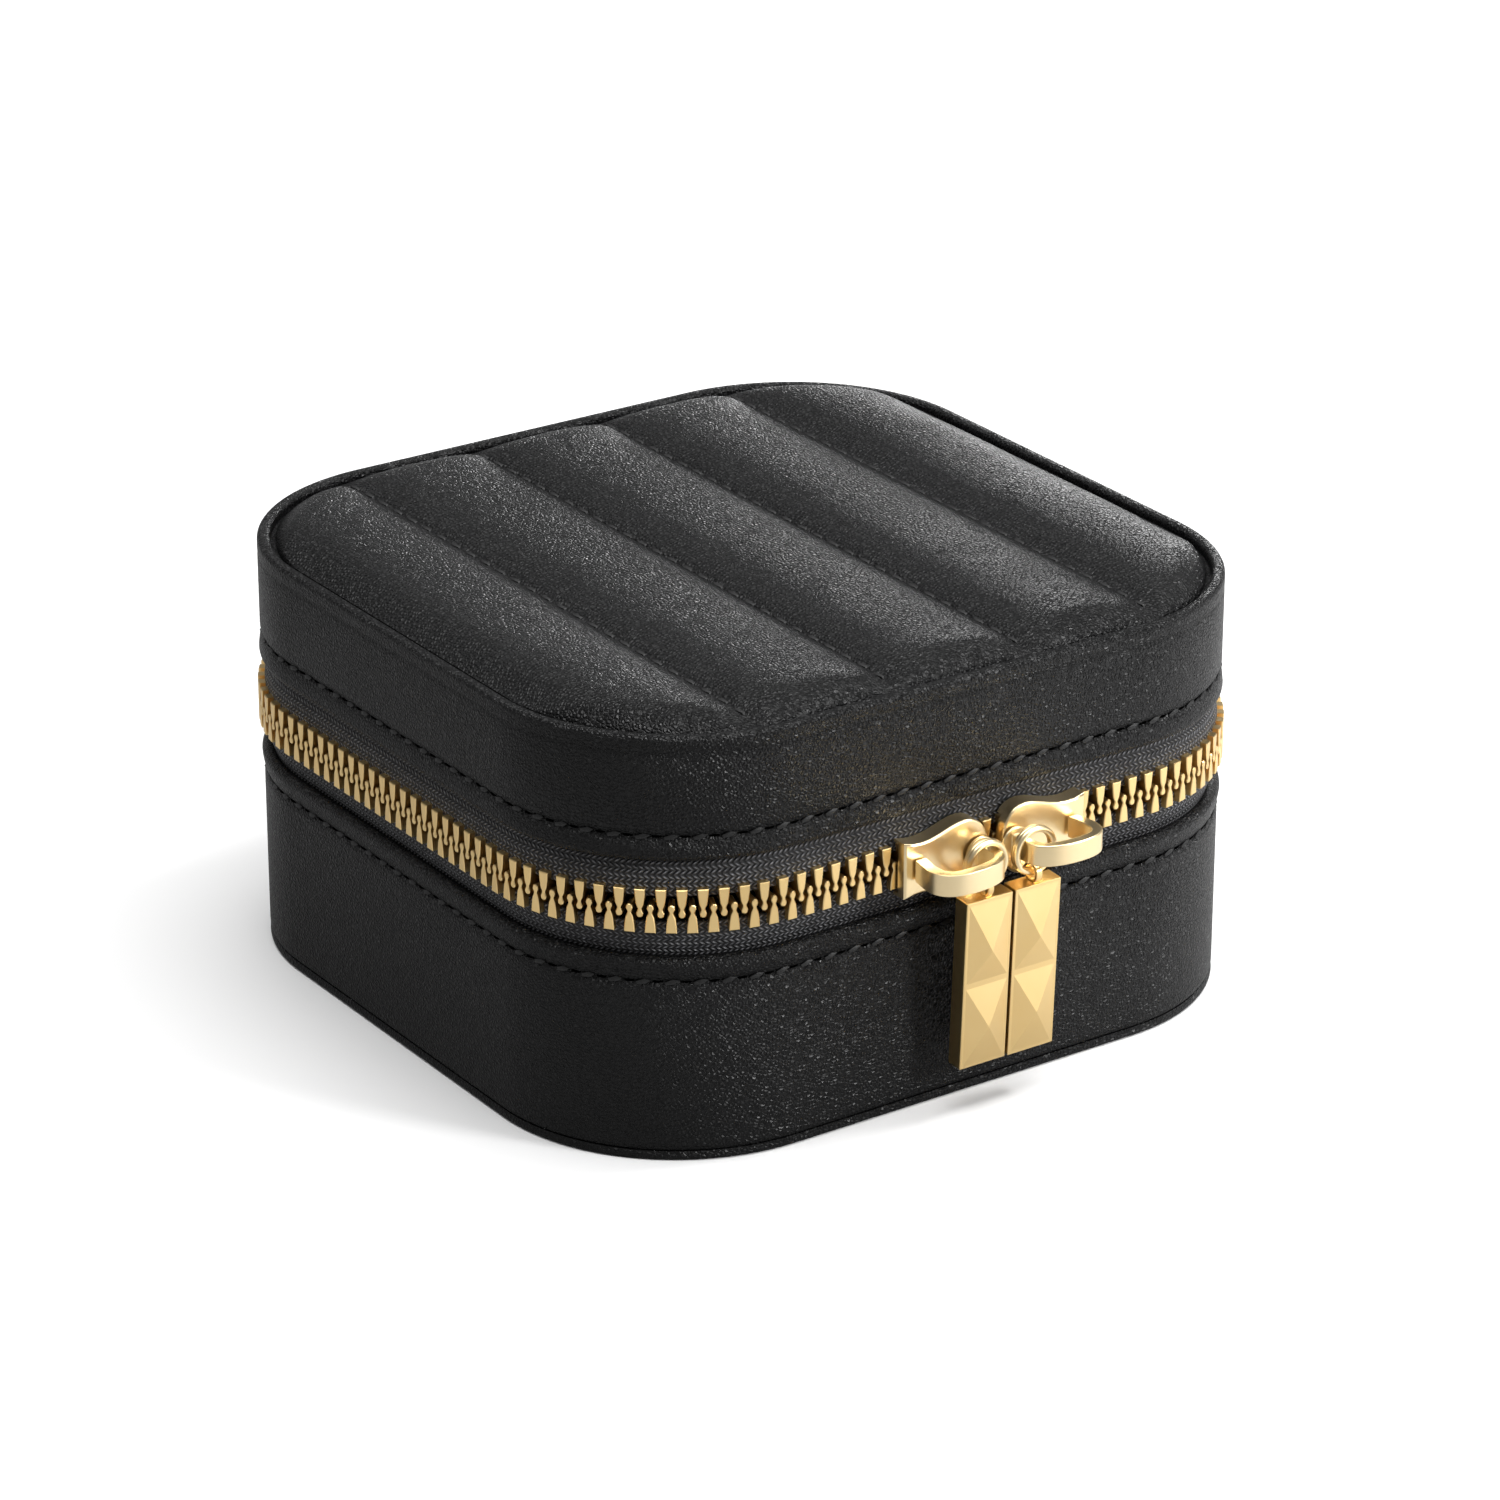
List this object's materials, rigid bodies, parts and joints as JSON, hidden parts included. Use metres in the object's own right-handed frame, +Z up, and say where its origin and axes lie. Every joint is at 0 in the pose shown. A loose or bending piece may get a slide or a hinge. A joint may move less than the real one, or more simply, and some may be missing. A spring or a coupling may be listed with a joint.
{
  "type": "jewellery case",
  "caption": "Small leather jewellery case with a channel-quilted lid, a metal zip round the sides, two sliders with bar pulls, padded ring rolls and a mirror inside.",
  "frame": {"origin": "middle of the flat underside", "axes": "+Z up, -Y is the front with the zip pulls, +X to the right seen from the front"},
  "size_m": [0.105, 0.1118, 0.058],
  "materials": {
    "leather": "black pebble-grain leather, satin",
    "board": "grey board, matt",
    "zip_tape": "black woven tape, matt",
    "gold": "pale gold plating, polished",
    "lining": "black velvet, short pile",
    "foam": "grey foam, matt",
    "mirror": "clear silvered mirror"
  },
  "bodies": {
    "base": {"base_bottom_leather": "leather", "base_side_leather": "leather", "base_bottom_board": "board", "base_wall_board": "board", "base_lining": "lining", "ring_roll_1": "lining", "ring_roll_2": "lining", "ring_roll_3": "lining", "ring_roll_4": "lining", "ring_roll_5": "lining", "divider_long": "lining", "divider_cross": "lining", "lower_zip_tape": "zip_tape", "lower_zip_teeth": "gold", "hinge_strip_lower": "leather"},
    "lid": {"lid_side_leather": "leather", "lid_wall_board": "board", "lid_top_board": "board", "quilt_foam": "foam", "quilted_top_leather": "leather", "lid_lining": "lining", "mirror_frame": "leather", "mirror_glass": "mirror", "upper_zip_tape": "zip_tape", "upper_zip_teeth": "gold", "hinge_strip_upper": "leather"},
    "slider_left": {"slider_left_body": "gold", "slider_left_bridge": "gold"},
    "ring_left": {"ring_left": "gold"},
    "bar_left": {"pull_bar_left": "gold"},
    "slider_right": {"slider_right_body": "gold", "slider_right_bridge": "gold"},
    "ring_right": {"ring_right": "gold"},
    "bar_right": {"pull_bar_right": "gold"}
  },
  "joints": [
    {"name": "lid_hinge", "type": "hinge", "parent": "base", "child": "lid", "pos_m": [0, 0.051, 0.0336], "axis": [-1, 0, 0], "range_deg": [0, 100]},
    {"name": "slider_left_travel", "type": "slide", "parent": "base", "child": "slider_left", "axis": [-1, 0, 0], "range_m": [0, 0.014]},
    {"name": "ring_left_swing", "type": "hinge", "parent": "slider_left", "child": "ring_left", "pos_m": [-0.00185, -0.0561, 0.0362], "axis": [-1, 0, 0], "range_deg": [0, 15]},
    {"name": "bar_left_swing", "type": "hinge", "parent": "ring_left", "child": "bar_left", "pos_m": [-0.00185, -0.0561, 0.0304], "axis": [-1, 0, 0], "range_deg": [-5, 70]},
    {"name": "slider_right_travel", "type": "slide", "parent": "base", "child": "slider_right", "axis": [1, 0, 0], "range_m": [0, 0.0105]},
    {"name": "ring_right_swing", "type": "hinge", "parent": "slider_right", "child": "ring_right", "pos_m": [0.00545, -0.0561, 0.0362], "axis": [-1, 0, 0], "range_deg": [0, 15]},
    {"name": "bar_right_swing", "type": "hinge", "parent": "ring_right", "child": "bar_right", "pos_m": [0.00545, -0.0561, 0.0304], "axis": [-1, 0, 0], "range_deg": [-5, 70]}
  ]
}
